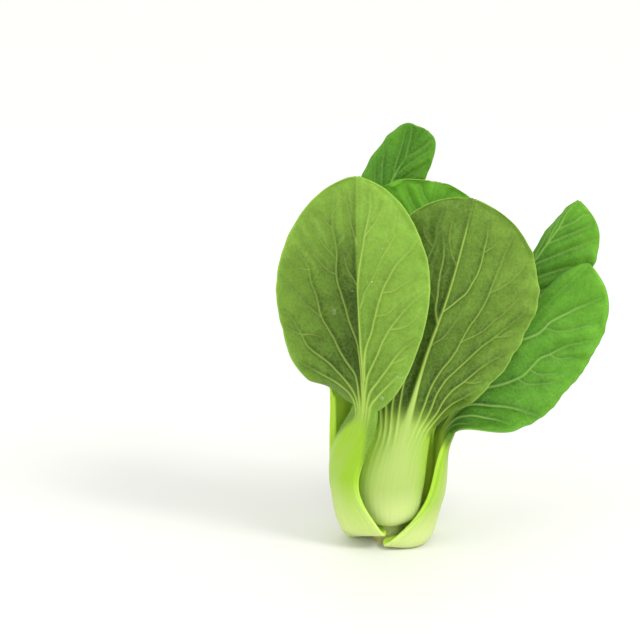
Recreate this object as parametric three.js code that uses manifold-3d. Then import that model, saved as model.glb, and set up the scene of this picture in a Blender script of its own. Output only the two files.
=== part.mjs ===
// Baby bok choy: one head as picked and trimmed, standing on its cut stem end and stalk heels.
// Millimetres, +Z up. The origin is on the head's axis at the surface it stands on, and the
// front, where the two palest leaf backs show, looks along -Y. Azimuths run from the front
// towards +X. Each leaf is a pale stalk and a green blade, two solids that share one surface.
import * as THREE from "three";
import * as BufferGeometryUtils from "three/addons/utils/BufferGeometryUtils.js";
import Module from "manifold-3d";

const wasm = await Module();
wasm.setup();

// Driving dimensions
const gap = 0.3;                 // clearance between neighbouring solids
const stubRadius = 7.2;          // the cut stem end
const ribRise = 0.6;             // how far a side rib stands out of the blade's back
const ribSlant = 0.2;            // side ribs climb by this share of the blade's length
const foldRadius = 3;            // roundness of the fold along a midrib
const bellyLift = 0.75;          // height of a stalk's belly above its root, in belly radii
const tongueWidth = 0.16;        // pale tongue up the midrib, as a share of the half width

// Thickness through the middle, half width of that thick core, and thickness of the margin:
// at root, heel, belly and neck of the stalk, then 15 %, 50 % and 100 % up the blade
const coreThickness = [4, 5.4, 6.4, 5, 3.6, 2.1, 1.1];
const coreSpread = [7, 9, 11, 7, 3, 1.8, 1];
const edgeThickness = [1.5, 1.5, 1.5, 1.2, 0.9, 0.9, 0.9];

// Where the grid's columns run, as shares of the half width, and its rows
const outerGrid = {
  columns: [-1, -0.84, -0.6, -0.36, -0.18, -0.08, 0, 0.08, 0.18, 0.36, 0.6, 0.84, 1],
  stalkRows: 11,
  bladeRows: 16,
};
const innerGrid = {
  columns: [-1, -0.7, -0.35, -0.12, 0, 0.12, 0.35, 0.7, 1],
  stalkRows: 8,
  bladeRows: 8,
};

// The leaves, outermost first. azimuth is where the root and the belly stand round the axis,
// root the radius and height where the stalk leaves the stem, belly the radius of its bulge,
// rib the points of the midrib at neck, low, high and tip, facing the azimuth of the leaf's
// back at belly, neck, low, high and tip. Pairs are the left
// and right halves as seen from the back of the leaf: stalk holds the half widths at root,
// heel, belly and neck, width the blade's largest half width, swell how fast that width rises
// and falls, fold and curl the bend at the midrib and beyond it in degrees, positive towards
// the leaf's front. waves is the height, the number and the phase of the margin's waves.
const leaves = [
  {
    name: "leaf_front_left", grid: outerGrid, stout: 1, tongue: 26,
    azimuth: [-60, -60], root: [8, 8], belly: 24.5,
    rib: [[-9.6, -29, 69], [-11.6, -37, 101], [-13.2, -42, 136], [-13.1, -40, 172]],
    facing: [-60, -24, -12, -8, -5],
    stalk: [[4.5, 11, 14, 6.5], [7, 17.5, 12, 5.5]],
    width: [39, 31], swell: [[0.5, 0.57], [0.85, 0.62]],
    fold: [20, 20], curl: [-10, -10], waves: [1, 2.5, 0],
  },
  {
    name: "leaf_right", grid: outerGrid, stout: 1, tongue: 20,
    azimuth: [30, 78], root: [8, 2.9], belly: 22,
    rib: [[26.8, -1, 52], [47, 3, 79.5], [70.8, 5, 107.5], [90.4, 3, 127.3]],
    facing: [85, 110, 150, 160, 160],
    stalk: [[6, 14.5, 10.5, 8], [7, 15, 12, 8]],
    width: [33.5, 17], swell: [[0.55, 0.4], [0.8, 0.5]],
    fold: [-10, -80], curl: [-10, -50], waves: [1.5, 4.5, 0],
  },
  {
    name: "leaf_back_left", grid: outerGrid, stout: 1, tongue: 22,
    azimuth: [-118, -118], root: [8, 3.3], belly: 23,
    rib: [[-22, 9, 66], [-22, 13, 97], [-23.5, 16, 126], [-19.5, 21, 154]],
    facing: [-118, -122, -125, -128, -130],
    stalk: [[3.6, 9.5, 12.5, 8], [3.6, 9.5, 12.5, 8]],
    width: [16, 26], swell: [[0.8, 0.6], [0.8, 0.6]],
    fold: [5, 5], curl: [10, 10], waves: [1.5, 3, 2],
  },
  {
    name: "leaf_back", grid: outerGrid, stout: 1, tongue: 22,
    azimuth: [190, 190], root: [8, 3.3], belly: 23,
    rib: [[-4, 25, 66], [-6, 34, 112], [2.4, 38, 161.5], [17.5, 36, 184]],
    facing: [190, 188, 180, 175, 170],
    stalk: [[3.6, 9.5, 12.5, 8], [3.6, 9.5, 12.5, 8]],
    width: [15, 14.5], swell: [[0.8, 0.35], [0.8, 0.25]],
    fold: [-10, -10], curl: [-20, -20], waves: [1, 3, 2],
  },
  {
    name: "leaf_back_right", grid: outerGrid, stout: 1, tongue: 22,
    azimuth: [138, 138], root: [8, 3.6], belly: 22.5,
    rib: [[18, 20, 66], [42.5, 24, 90.5], [65, 26, 121.5], [87, 24, 153]],
    facing: [138, 145, 155, 165, 165],
    stalk: [[3.6, 9.5, 12.5, 8], [3.6, 9.5, 12.5, 8]],
    width: [26, 14], swell: [[0.8, 0.4], [0.7, 0.5]],
    fold: [-5, -95], curl: [-10, -20], waves: [1, 3, 1],
  },
  {
    name: "leaf_front", grid: outerGrid, stout: 1, tongue: 34,
    azimuth: [5, 5], root: [6, 13], belly: 17.5,
    rib: [[7.1, -19, 56], [15.4, -21, 87.5], [26.6, -23, 120.5], [37.1, -22, 160]],
    facing: [5, 8, 16, 20, 20],
    stalk: [[6, 12, 16.5, 14], [6, 12, 16.5, 14]],
    width: [36, 46.5], swell: [[1.1, 0.55], [1, 0.62]],
    fold: [12, 8], curl: [25, 0], waves: [1.5, 3, 0],
  },
  {
    name: "leaf_rear_inner", grid: outerGrid, stout: 0.9, tongue: 22,
    azimuth: [165, 165], root: [6, 13], belly: 15.5,
    rib: [[4, 14, 66], [9, 16, 99], [15.5, 19, 131], [22.6, 18, 162.3]],
    facing: [165, 168, 172, 175, 175],
    stalk: [[6, 11, 12, 9], [6, 11, 12, 9]],
    width: [32, 31], swell: [[0.9, 0.42], [0.9, 0.35]],
    fold: [0, 0], curl: [0, 10], waves: [2, 3, 2],
  },
  {
    name: "leaf_left_inner", grid: innerGrid, stout: 0.7, tongue: 12,
    azimuth: [-82, -82], root: [4.5, 16], belly: 9.5,
    rib: [[-9, -2, 56], [-11, -4, 78], [-12, -5, 98], [-11, -6, 120]],
    facing: [-82, -85, -90, -90, -90],
    stalk: [[4, 7, 8, 6], [4, 7, 8, 6]],
    width: [15, 15], swell: [[0.7, 0.45], [0.7, 0.45]],
    fold: [10, 10], curl: [30, 30], waves: [1, 3, 2],
  },
  {
    name: "leaf_right_inner", grid: innerGrid, stout: 0.7, tongue: 12,
    azimuth: [85, 85], root: [4.5, 17], belly: 9,
    rib: [[9, -2, 54], [11, -3, 74], [14, -4, 93], [16, -4, 112]],
    facing: [85, 85, 90, 90, 90],
    stalk: [[4, 7, 8, 6], [4, 7, 8, 6]],
    width: [14, 14], swell: [[0.7, 0.45], [0.7, 0.45]],
    fold: [10, 10], curl: [30, 30], waves: [1, 3, 2],
  },
];

const { lerp, degToRad, clamp, smoothstep } = THREE.MathUtils;

// A smooth curve through values at rising keys, with the slopes of its neighbours
function through(keys, values, at) {
  const steps = values.slice(1).map((value, k) => (value - values[k]) / (keys[k + 1] - keys[k]));
  const slope = (k) => {
    if (k === 0) return steps[0];
    if (k === keys.length - 1) return steps[k - 1];
    const before = keys[k] - keys[k - 1];
    const after = keys[k + 1] - keys[k];
    return (steps[k] * before + steps[k - 1] * after) / (before + after);
  };
  const place = clamp(at, keys[0], keys[keys.length - 1]);
  let k = 0;
  while (k < keys.length - 2 && place >= keys[k + 1]) k += 1;
  const span = keys[k + 1] - keys[k];
  const x = (place - keys[k]) / span;
  return (2 * x ** 3 - 3 * x ** 2 + 1) * values[k] + (x ** 3 - 2 * x ** 2 + x) * span * slope(k)
    + (3 * x ** 2 - 2 * x ** 3) * values[k + 1] + (x ** 3 - x ** 2) * span * slope(k + 1);
}

function around(azimuth, radius, height) {
  const turn = degToRad(azimuth);
  return [radius * Math.sin(turn), -radius * Math.cos(turn), height];
}

// The midrib as evenly spaced stations, each with its place and the leaf's own directions:
// along the rib, across the leaf, and out of its back
class Midrib {
  constructor(leaf) {
    const [rootRadius, rootHeight] = leaf.root;
    const [rootAzimuth, bellyAzimuth] = leaf.azimuth;
    const heelRadius = lerp(rootRadius, leaf.belly, 0.62);
    const points = [
      around(rootAzimuth, rootRadius, rootHeight),
      around(lerp(rootAzimuth, bellyAzimuth, 0.3), heelRadius, rootHeight - 0.4),
      around(bellyAzimuth, leaf.belly, rootHeight + bellyLift * leaf.belly),
      ...leaf.rib,
    ].map((point) => new THREE.Vector3(...point));
    const chords = [0];
    points.slice(1).forEach((point, k) => chords.push(chords[k] + point.distanceTo(points[k])));
    const onCurve = (at) => new THREE.Vector3(
      through(chords, points.map((p) => p.x), at),
      through(chords, points.map((p) => p.y), at),
      through(chords, points.map((p) => p.z), at),
    );
    this.runs = [0];
    this.places = [onCurve(0)];
    this.count = 480;
    this.chords = chords;
    for (let k = 1; k <= this.count; k += 1) {
      const place = onCurve((chords[6] * k) / this.count);
      this.runs.push(this.runs[k - 1] + place.distanceTo(this.places[k - 1]));
      this.places.push(place);
    }
    this.length = this.runs[this.count];
    this.marks = chords.map((chord) => this.runs[Math.round((chord / chords[6]) * this.count)]);
    this.facing = leaf.facing;
  }

  place(s) {
    const run = clamp(s, 0, this.length);
    let low = 0;
    let high = this.count;
    while (high - low > 1) {
      const middle = (low + high) >> 1;
      if (this.runs[middle] > run) high = middle;
      else low = middle;
    }
    const share = (run - this.runs[low]) / (this.runs[high] - this.runs[low]);
    return this.places[low].clone().lerp(this.places[high], share);
  }

  station(s) {
    const place = this.place(s);
    const along = this.place(s + 0.5).sub(this.place(s - 0.5)).normalize();
    const turn = degToRad(through(this.marks.slice(2), this.facing, s));
    const back = new THREE.Vector3(Math.sin(turn), -Math.cos(turn), 0);
    const across = along.clone().cross(back).normalize();
    const out = across.clone().cross(along);
    return { place, along, across, out };
  }
}

// One leaf as a thick sheet: s runs along its midrib from the root, t across it
class Leaf {
  constructor(shape) {
    Object.assign(this, shape);
    this.midrib = new Midrib(shape);
    this.length = this.midrib.length;
    this.neck = this.midrib.marks[3];
    this.bladeLength = this.length - this.neck;
  }

  upBlade(s) {
    return clamp((s - this.neck) / this.bladeLength, 0, 1);
  }

  // Half width of one half (0 left, 1 right)
  halfWidth(s, half) {
    const stalk = this.stalk[half];
    if (s <= this.neck) return through(this.midrib.marks.slice(0, 4), stalk, s);
    const x = this.upBlade(s);
    const [rise, fall] = this.swell[half];
    const peak = rise / (rise + fall);
    const shape = (x ** rise * (1 - x) ** fall) / (peak ** rise * (1 - peak) ** fall);
    const reach = this.width[half] - stalk[3] * (1 - peak) ** 2;
    return Math.max(stalk[3] * (1 - x) ** 2 + reach * shape, 0.8);
  }

  // The sheet's middle: round the head's axis at the base, in the leaf's own frame above
  middle(s, t) {
    const { place, across, out } = this.midrib.station(s);
    const marks = this.midrib.marks;
    const half = t > 0 ? 1 : 0;
    const reach = Math.abs(t);
    const blade = smoothstep(this.upBlade(s), 0, 0.3);
    const easing = lerp(1, 0.75, smoothstep(this.upBlade(s), 0.75, 1));
    const radius = Math.hypot(place.x, place.y);
    const fold = blade * easing * degToRad(this.fold[half]);
    const bend = (1 - smoothstep(this.upBlade(s), 0, 0.2)) / Math.max(radius, 8)
      + (blade * degToRad(this.curl[half])) / 30;
    let sideways = 0;
    let inwards = 0;
    const steps = 14;
    for (let k = 0; k < steps; k += 1) {
      const walked = (reach * (k + 0.5)) / steps;
      const angle = fold * (1 - Math.exp(-walked / foldRadius)) + bend * walked;
      sideways += (Math.cos(angle) * reach) / steps;
      inwards += (Math.sin(angle) * reach) / steps;
    }
    const own = place.clone()
      .addScaledVector(across, Math.sign(t) * sideways)
      .addScaledVector(out, -inwards);
    const turn = Math.atan2(place.x, -place.y) + t / Math.max(radius, 3);
    const round = new THREE.Vector3(radius * Math.sin(turn), -radius * Math.cos(turn), place.z);
    const point = round.lerp(own, smoothstep(s, marks[2], marks[3]));
    const share = Math.min(reach / this.halfWidth(s, half), 1);
    const [height, number, phase] = this.waves;
    const swing = 2 * Math.PI * number * this.upBlade(s) * (1 + 0.07 * Math.sign(t));
    const wave = height * share ** 2.2 * blade * Math.sin(swing + phase + 1.3 * Math.sign(t));
    return point.addScaledVector(out, wave);
  }

  thickness(s, t) {
    const keys = [...this.midrib.marks.slice(0, 4), 0.15, 0.5, 1]
      .map((mark, k) => (k < 4 ? mark : this.neck + mark * this.bladeLength));
    const edge = through(keys, edgeThickness, s);
    const core = through(keys, coreThickness.map((value) => value * this.stout), s);
    return edge + Math.max(core - edge, 0) * Math.exp(-((t / through(keys, coreSpread, s)) ** 2));
  }

  // Points on the leaf's back and front, with an extra height on the back for a side rib
  faces(s, t, rib, grow) {
    const step = 0.4;
    const inside = clamp(s, step, this.length - step);
    const along = this.middle(inside + step, t).sub(this.middle(inside - step, t));
    const across = this.middle(s, t + step).sub(this.middle(s, t - step));
    const out = across.cross(along).normalize();
    const half = this.thickness(s, t) / 2 + grow;
    const middle = this.middle(s, t);
    return [
      middle.clone().addScaledVector(out, half + rib),
      middle.clone().addScaledVector(out, -half),
    ];
  }

  // Where the pale stalk gives way to the green blade: a tongue that climbs the midrib
  border(share) {
    return this.neck + this.tongue * Math.exp(-((share / tongueWidth) ** 2));
  }

  // Half the clearance there, measured along the rib so that it holds where the edge is steep
  borderGap(share) {
    const step = 0.03;
    const rise = this.border(share + step) - this.border(share - step);
    const run = 2 * step * this.halfWidth(this.border(share), share > 0 ? 1 : 0);
    return (gap / 2) * Math.hypot(1, rise / run);
  }

  sheet(rowCount, rowAt, ribAt, grow) {
    const back = [];
    const front = [];
    for (let row = 0; row <= rowCount; row += 1) {
      const points = this.grid.columns.map((share) => {
        const s = rowAt(row, share);
        const half = share > 0 ? 1 : 0;
        const t = share * (this.halfWidth(s, half) + grow);
        return this.faces(s, t, ribAt(row, share), grow);
      });
      back.push(points.map((pair) => pair[0]));
      front.push(points.map((pair) => pair[1]));
    }
    return closedSheet(back, front);
  }

  stalkSheet(grow = 0) {
    const rows = this.grid.stalkRows;
    const top = (share) => this.border(share) - this.borderGap(share);
    return this.sheet(rows, (row, share) => (top(share) * row) / rows, () => 0, grow);
  }

  // Rows climb towards the margin, and a side rib stands on every other row of each half
  bladeSheet(grow = 0) {
    const rows = this.grid.bladeRows;
    const rowAt = (row, share) => {
      const start = this.border(share) + this.borderGap(share);
      const x = (1 - Math.cos((Math.PI * row) / rows)) / 2;
      const climb = ribSlant * this.bladeLength * 4 * x * (1 - x) * Math.abs(share);
      return Math.min(lerp(start, this.length, x) + climb, this.length - 0.3);
    };
    const ribAt = (row, share) => {
      const onRib = row > 0 && row < rows && row % 2 === (share > 0 ? 1 : 0);
      const reach = Math.abs(share);
      const fade = smoothstep(reach, 0.02, 0.15) * (1 - smoothstep(reach, 0.55, 0.95));
      return onRib ? ribRise * fade * (1 - 0.5 * (row / rows)) : 0;
    };
    return this.sheet(rows, rowAt, ribAt, grow);
  }
}

// A closed solid from two grids of points, split into triangles alike on both faces
function closedSheet(back, front) {
  const rows = back.length;
  const columns = back[0].length;
  const positions = [];
  for (const point of [...back.flat(), ...front.flat()]) {
    positions.push(point.x, point.y, Math.max(point.z, 0));
  }
  const index = [];
  const at = (row, column) => row * columns + column;
  const behind = rows * columns;
  const addQuad = (a, b, c, d) => index.push(a, b, c, a, c, d);
  for (let row = 0; row < rows - 1; row += 1) {
    for (let column = 0; column < columns - 1; column += 1) {
      const [a, b] = [at(row, column), at(row, column + 1)];
      const [d, c] = [at(row + 1, column), at(row + 1, column + 1)];
      index.push(a, b, c, a, c, d);
      index.push(a + behind, c + behind, b + behind, a + behind, d + behind, c + behind);
    }
    const [left, leftUp] = [at(row, 0), at(row + 1, 0)];
    const [right, rightUp] = [at(row, columns - 1), at(row + 1, columns - 1)];
    addQuad(left, leftUp, leftUp + behind, left + behind);
    addQuad(rightUp, right, right + behind, rightUp + behind);
  }
  for (let column = 0; column < columns - 1; column += 1) {
    const [low, lowNext] = [at(0, column), at(0, column + 1)];
    const [top, topNext] = [at(rows - 1, column), at(rows - 1, column + 1)];
    addQuad(lowNext, low, low + behind, lowNext + behind);
    addQuad(top, topNext, topNext + behind, top + behind);
  }
  const geometry = new THREE.BufferGeometry();
  geometry.setAttribute("position", new THREE.Float32BufferAttribute(positions, 3));
  geometry.setIndex(index);
  return geometry;
}

function toSolid(geometry) {
  const bare = geometry.clone();
  bare.deleteAttribute("normal");
  bare.deleteAttribute("uv");
  const merged = BufferGeometryUtils.mergeVertices(bare, 1e-4);
  const mesh = new wasm.Mesh({
    numProp: 3,
    vertProperties: new Float32Array(merged.attributes.position.array),
    triVerts: new Uint32Array(merged.index.array),
  });
  return new wasm.Manifold(mesh);
}

function toGeometry(solid) {
  const { vertProperties, triVerts } = solid.getMesh();
  const geometry = new THREE.BufferGeometry();
  geometry.setAttribute("position", new THREE.Float32BufferAttribute(vertProperties, 3));
  geometry.setIndex([...triVerts]);
  return geometry;
}

// What is left of a solid clear of its neighbours, as the one largest body
function trimmed(geometry, neighbours) {
  let solid = toSolid(geometry);
  let cut = false;
  for (const neighbour of neighbours) {
    if (solid.intersect(neighbour).volume() < 1e-4) continue;
    solid = solid.subtract(neighbour);
    cut = true;
  }
  if (!cut) return geometry;
  const bodies = solid.decompose().sort((a, b) => b.volume() - a.volume());
  return toGeometry(bodies[0]);
}

function stemGeometry() {
  const profile = [
    [0, 0], [stubRadius, 0], [stubRadius, 5], [6, 8], [5.2, 10], [5, 13.5],
    [3.6, 15], [3.2, 17.5], [2, 18.5], [0, 18.5],
  ];
  return new THREE.LatheGeometry(profile.map((point) => new THREE.Vector2(...point)), 24)
    .rotateX(Math.PI / 2);
}

const stalkMaterial = new THREE.MeshStandardMaterial({ color: 0xc4e086, roughness: 0.4 });
const bladeMaterial = new THREE.MeshStandardMaterial({ color: 0x5c9a4a, roughness: 0.5 });
const stemMaterial = new THREE.MeshStandardMaterial({ color: 0xb9bd80, roughness: 0.7 });

const head = new THREE.Group();

function addPiece(name, geometry, material) {
  const mesh = new THREE.Mesh(geometry, material);
  mesh.name = name;
  head.add(mesh);
}

const stem = stemGeometry();
addPiece("stem", stem, stemMaterial);
const placed = [];
for (const shape of leaves) {
  const leaf = new Leaf(shape);
  addPiece(`${leaf.name}_stalk`, trimmed(leaf.stalkSheet(), placed), stalkMaterial);
  placed.push(toSolid(leaf.stalkSheet(gap)));
  addPiece(`${leaf.name}_blade`, trimmed(leaf.bladeSheet(), placed), bladeMaterial);
  placed.push(toSolid(leaf.bladeSheet(gap)));
}

export default head;
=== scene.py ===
# Baby bok choy: one head standing on a pale table, as a studio picture of a greengrocer's stock.
# Shapes are worked out in millimetres and turned to metres where a mesh is made.
from math import cos, pi, radians, sin

import bpy
import numpy as np
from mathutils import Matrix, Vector


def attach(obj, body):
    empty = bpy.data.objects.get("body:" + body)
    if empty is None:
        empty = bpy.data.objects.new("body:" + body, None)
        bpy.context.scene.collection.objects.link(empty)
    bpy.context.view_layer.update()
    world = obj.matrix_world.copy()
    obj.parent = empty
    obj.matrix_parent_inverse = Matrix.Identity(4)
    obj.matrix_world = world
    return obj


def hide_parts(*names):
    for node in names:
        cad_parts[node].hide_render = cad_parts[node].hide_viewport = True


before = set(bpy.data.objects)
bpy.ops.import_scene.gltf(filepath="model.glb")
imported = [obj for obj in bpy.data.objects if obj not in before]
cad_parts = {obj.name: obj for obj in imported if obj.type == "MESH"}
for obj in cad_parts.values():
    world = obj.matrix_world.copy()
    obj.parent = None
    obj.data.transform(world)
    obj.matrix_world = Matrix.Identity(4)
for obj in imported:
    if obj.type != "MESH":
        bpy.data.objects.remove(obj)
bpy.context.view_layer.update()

scene = bpy.context.scene
mm = 0.001


# Leaf shape: the same midribs and widths as the imported solids, in mm and degrees.
# Pairs are the left and right halves as seen from the back of the leaf.
# tone is the leaf's lightness, then how it grows up the blade and to the right, partly its own
# colour and partly painted light and shade; hollow is how far and how much painted shade darkens
# the left half beside the midrib; fade is where the pale stalk turns green, in mm above the neck,
# and wing how much lower that is at its margins; lime is how green the stalk is, paler below 0,
# and above 1 painted light as if lit through; wrap is how far up the blade still curls round the
# head. pale is the width of the stalk's pale tongue, ribSize and ribEnd shape the midrib,
# veinSize scales the main veins and veinTint how light they all are, and shade is painted shade
# that darkens the green on their inner side, in the left and the right half.
leaves = {
    "leaf_front_left": dict(
        azimuth=(-60, -60), root=(8, 8), belly=24.5, tongue=26,
        rib=((-9.6, -29, 69), (-11.6, -37, 101), (-13.2, -42, 136), (-13.1, -40, 172)),
        facing=(-60, -24, -12, -8, -5), stalk=((4.5, 11, 14, 6.5), (7, 17.5, 12, 5.5)),
        width=(39, 31), swell=((0.5, 0.57), (0.85, 0.62)),
        fold=(20, 20), curl=(-10, -10), waves=(1, 2.5, 0), wrap=0.1,
        fine=0.46, side="blade_back", tone=(0.59, 0.22, 0.09), hollow=(0.38, 0.57),
        fade=(-10, 3), wing=24, pale=0.035, ribSize=0.6, ribEnd=0.52, lime=0.75,
        crenation=0.15, shade=(0.5, 0.15), seed=11),
    "leaf_right": dict(
        azimuth=(30, 78), root=(8, 2.9), belly=22, tongue=20,
        rib=((26.8, -1, 52), (47, 3, 79.5), (70.8, 5, 107.5), (90.4, 3, 127.3)),
        facing=(85, 110, 150, 160, 160), stalk=((6, 14.5, 10.5, 8), (7, 15, 12, 8)),
        width=(33.5, 17), swell=((0.55, 0.4), (0.8, 0.72)),
        fold=(-10, -80), curl=(-10, -50), waves=(1.5, 4.5, 0),
        fine=0.46, side="blade_front", tone=(0.46, 0.34, -0.05),
        fade=(-4, 4), wing=5, pale=0.06, ribEnd=0.3, lime=-0.5,
        crenation=0.45, veinSize=1.35, shade=(0.25, 0.1), seed=12),
    "leaf_back_left": dict(
        azimuth=(-118, -118), root=(8, 3.3), belly=23,
        rib=((-22, 9, 66), (-22, 13, 97), (-23.5, 16, 126), (-19.5, 21, 154)),
        facing=(-118, -122, -125, -128, -130), stalk=((3.6, 9.5, 12.5, 8), (3.6, 9.5, 12.5, 8)),
        width=(16, 26), swell=((0.8, 0.6), (0.8, 0.6)),
        fold=(5, 5), curl=(10, 10), waves=(1.5, 3, 2),
        fine=0.8, side="blade_back", tone=(0.45, 0.2, 0.0),
        # Its lime over 1 is painted light on the stalk where the front left leaf shades it.
        fade=(10, 24), wing=0, ribEnd=0.95, lime=1.3, seed=13),
    "leaf_back": dict(
        azimuth=(190, 190), root=(8, 3.3), belly=23,
        rib=((-4, 25, 66), (-6, 34, 112), (2.4, 38, 161.5), (17.5, 36, 184)),
        facing=(190, 188, 180, 175, 170), stalk=((3.6, 9.5, 12.5, 8), (3.6, 9.5, 12.5, 8)),
        width=(15, 14.5), swell=((0.8, 0.35), (0.8, 0.25)),
        fold=(-10, -10), curl=(-20, -20), waves=(1, 3, 2),
        fine=0.6, side="blade_front", tone=(0.42, 0.1, 0.0),
        veinTint=0.5, shade=(0.3, 0.3), seed=14),
    "leaf_back_right": dict(
        azimuth=(138, 138), root=(8, 3.6), belly=22.5,
        rib=((18, 20, 66), (42.5, 24, 90.5), (65, 26, 121.5), (87, 24, 153)),
        facing=(138, 145, 155, 165, 165), stalk=((3.6, 9.5, 12.5, 8), (3.6, 9.5, 12.5, 8)),
        width=(26, 14), swell=((0.8, 0.4), (0.7, 0.72)),
        fold=(-5, -95), curl=(-10, -20), waves=(1, 3, 1),
        # Its tone's steep rise up the blade is painted shade: the right leaf's shadow on its lower part.
        # Its lime over 1 is painted light in the shaded gap between the front and right leaves.
        fine=0.6, side="blade_front", tone=(0.26, 0.9, 0.0),
        fade=(6, 20), wing=0, pale=0.06, ribEnd=0.95, lime=1.9,
        veinSize=1.15, veinTint=0.75, shade=(0.3, 0.2), seed=15),
    "leaf_front": dict(
        azimuth=(5, 5), root=(6, 13), belly=17.5, tongue=34,
        rib=((7.1, -19, 56), (15.4, -21, 87.5), (26.6, -23, 120.5), (37.1, -22, 160)),
        facing=(5, 8, 16, 20, 20), stalk=((6, 12, 16.5, 14), (6, 12, 16.5, 14)),
        width=(36, 46.5), swell=((1.1, 0.55), (1, 0.62)),
        fold=(12, 8), curl=(25, 0), waves=(1.5, 3, 0),
        # Its hollow is painted shade: the front left leaf's shadow on its left half.
        fine=0.485, side="blade_back", tone=(0.27, 0.2, 0.10), hollow=(0.4, 0.15),
        fade=(1, 14), wing=9, pale=0.045, ribSize=1.0, ribEnd=0.95, lime=-0.5,
        crenation=0.5, shade=(0.25, 0.25), seed=16),
    "leaf_rear_inner": dict(
        azimuth=(165, 165), root=(6, 13), belly=15.5, stout=0.9,
        rib=((4, 14, 66), (9, 16, 99), (15.5, 19, 131), (22.6, 18, 162.3)),
        facing=(165, 168, 172, 175, 175), stalk=((6, 11, 12, 9), (6, 11, 12, 9)),
        width=(32, 31), swell=((0.9, 0.42), (0.9, 0.35)),
        fold=(0, 0), curl=(0, 10), waves=(2, 3, 2),
        fine=0.7, side="blade_front", tone=(0.88, 0.2, 0.0),
        crenation=0.6, veinTint=0.5, shade=(0.3, 0.3), seed=17),
    "leaf_left_inner": dict(
        azimuth=(-82, -82), root=(4.5, 16), belly=9.5, stout=0.7, tongue=12,
        rib=((-9, -2, 56), (-11, -4, 78), (-12, -5, 98), (-11, -6, 120)),
        facing=(-82, -85, -90, -90, -90), stalk=((4, 7, 8, 6), (4, 7, 8, 6)),
        width=(15, 15), swell=((0.7, 0.45), (0.7, 0.45)),
        fold=(10, 10), curl=(30, 30), waves=(1, 3, 2),
        fine=0.8, side="blade_front", tone=(0.9, 0.1, 0.0), pale=0.1, lime=0.9,
        veinSize=0.8, seed=18),
    "leaf_right_inner": dict(
        azimuth=(85, 85), root=(4.5, 17), belly=9, stout=0.7, tongue=12,
        rib=((9, -2, 54), (11, -3, 74), (14, -4, 93), (16, -4, 112)),
        facing=(85, 85, 90, 90, 90), stalk=((4, 7, 8, 6), (4, 7, 8, 6)),
        width=(14, 14), swell=((0.7, 0.45), (0.7, 0.45)),
        fold=(10, 10), curl=(30, 30), waves=(1, 3, 2),
        fine=0.8, side="blade_front", tone=(0.9, 0.1, 0.0), pale=0.1, lime=0.9,
        veinSize=0.8, seed=19),
}

# What a leaf has where it says nothing else
usual = dict(
    stout=1.0, tongue=22, hollow=(0.3, 0.0), wrap=0.2, fade=(-8, 5), wing=6, pale=0.08,
    ribSize=0.8, ribEnd=0.9, lime=0.6, crenation=0.4, veinSize=1.0, veinTint=1.0,
    shade=(0.2, 0.2),
)

# What every leaf shares: thickness at root, heel, belly and neck, then up the blade
tissue = dict(
    core=(4, 5.4, 6.4, 5, 3.6, 2.1, 1.1),
    spread=(7, 9, 11, 7, 3, 1.8, 1),
    edge=(1.5, 1.5, 1.5, 1.1, 0.65, 0.6, 0.5),
    bellyLift=0.75,
    foldRadius=3,        # of the crease at the midrib
    slightFold=30,       # degrees under which a fold opens out towards the tip
    curlSpan=30,         # mm over which a blade bends by its curl
    ribToBack=0.6,       # share of the midrib's swelling that stands out of the back
    rimRadius=0.5,       # rounding of the margin
    pucker=1.5,          # how far the blade swells to its front between veins
    puckerReach=3.8,     # distance from a vein at which it is fully swollen
    rolling=0.32,        # height of the blade's uneven waves
    rollingSizes=(7.0, 4.6, 11.0),
    scallops=(5, 8, 13, 19),  # how many notches a margin has, from broad to fine
    frill=0.8,           # ripples of the margin, over the leaf's crenation
    stalkStep=1.3,       # mesh step along the stalk
    stalkFlute=0.05,     # height of the fine ribs down a stalk's back
)


def smooth(low, high, value):
    x = np.clip((value - low) / (high - low), 0, 1)
    return x * x * (3 - 2 * x)


def through(keys, values, at):
    # smooth curve through values at rising keys, sloped by its neighbours
    keys = np.asarray(keys, float)
    values = np.asarray(values, float)
    gaps = np.diff(keys)
    steps = np.diff(values) / gaps
    inner = (steps[1:] * gaps[:-1] + steps[:-1] * gaps[1:]) / (gaps[1:] + gaps[:-1])
    slopes = np.concatenate([steps[:1], inner, steps[-1:]])
    place = np.clip(at, keys[0], keys[-1])
    k = np.clip(np.searchsorted(keys, place, side="right") - 1, 0, len(keys) - 2)
    span = keys[k + 1] - keys[k]
    x = (place - keys[k]) / span
    return ((2 * x**3 - 3 * x**2 + 1) * values[k] + (x**3 - 2 * x**2 + x) * span * slopes[k]
            + (3 * x**2 - 2 * x**3) * values[k + 1] + (x**3 - x**2) * span * slopes[k + 1])


def around(azimuth, radius, height):
    return (radius * sin(radians(azimuth)), -radius * cos(radians(azimuth)), height)


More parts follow.
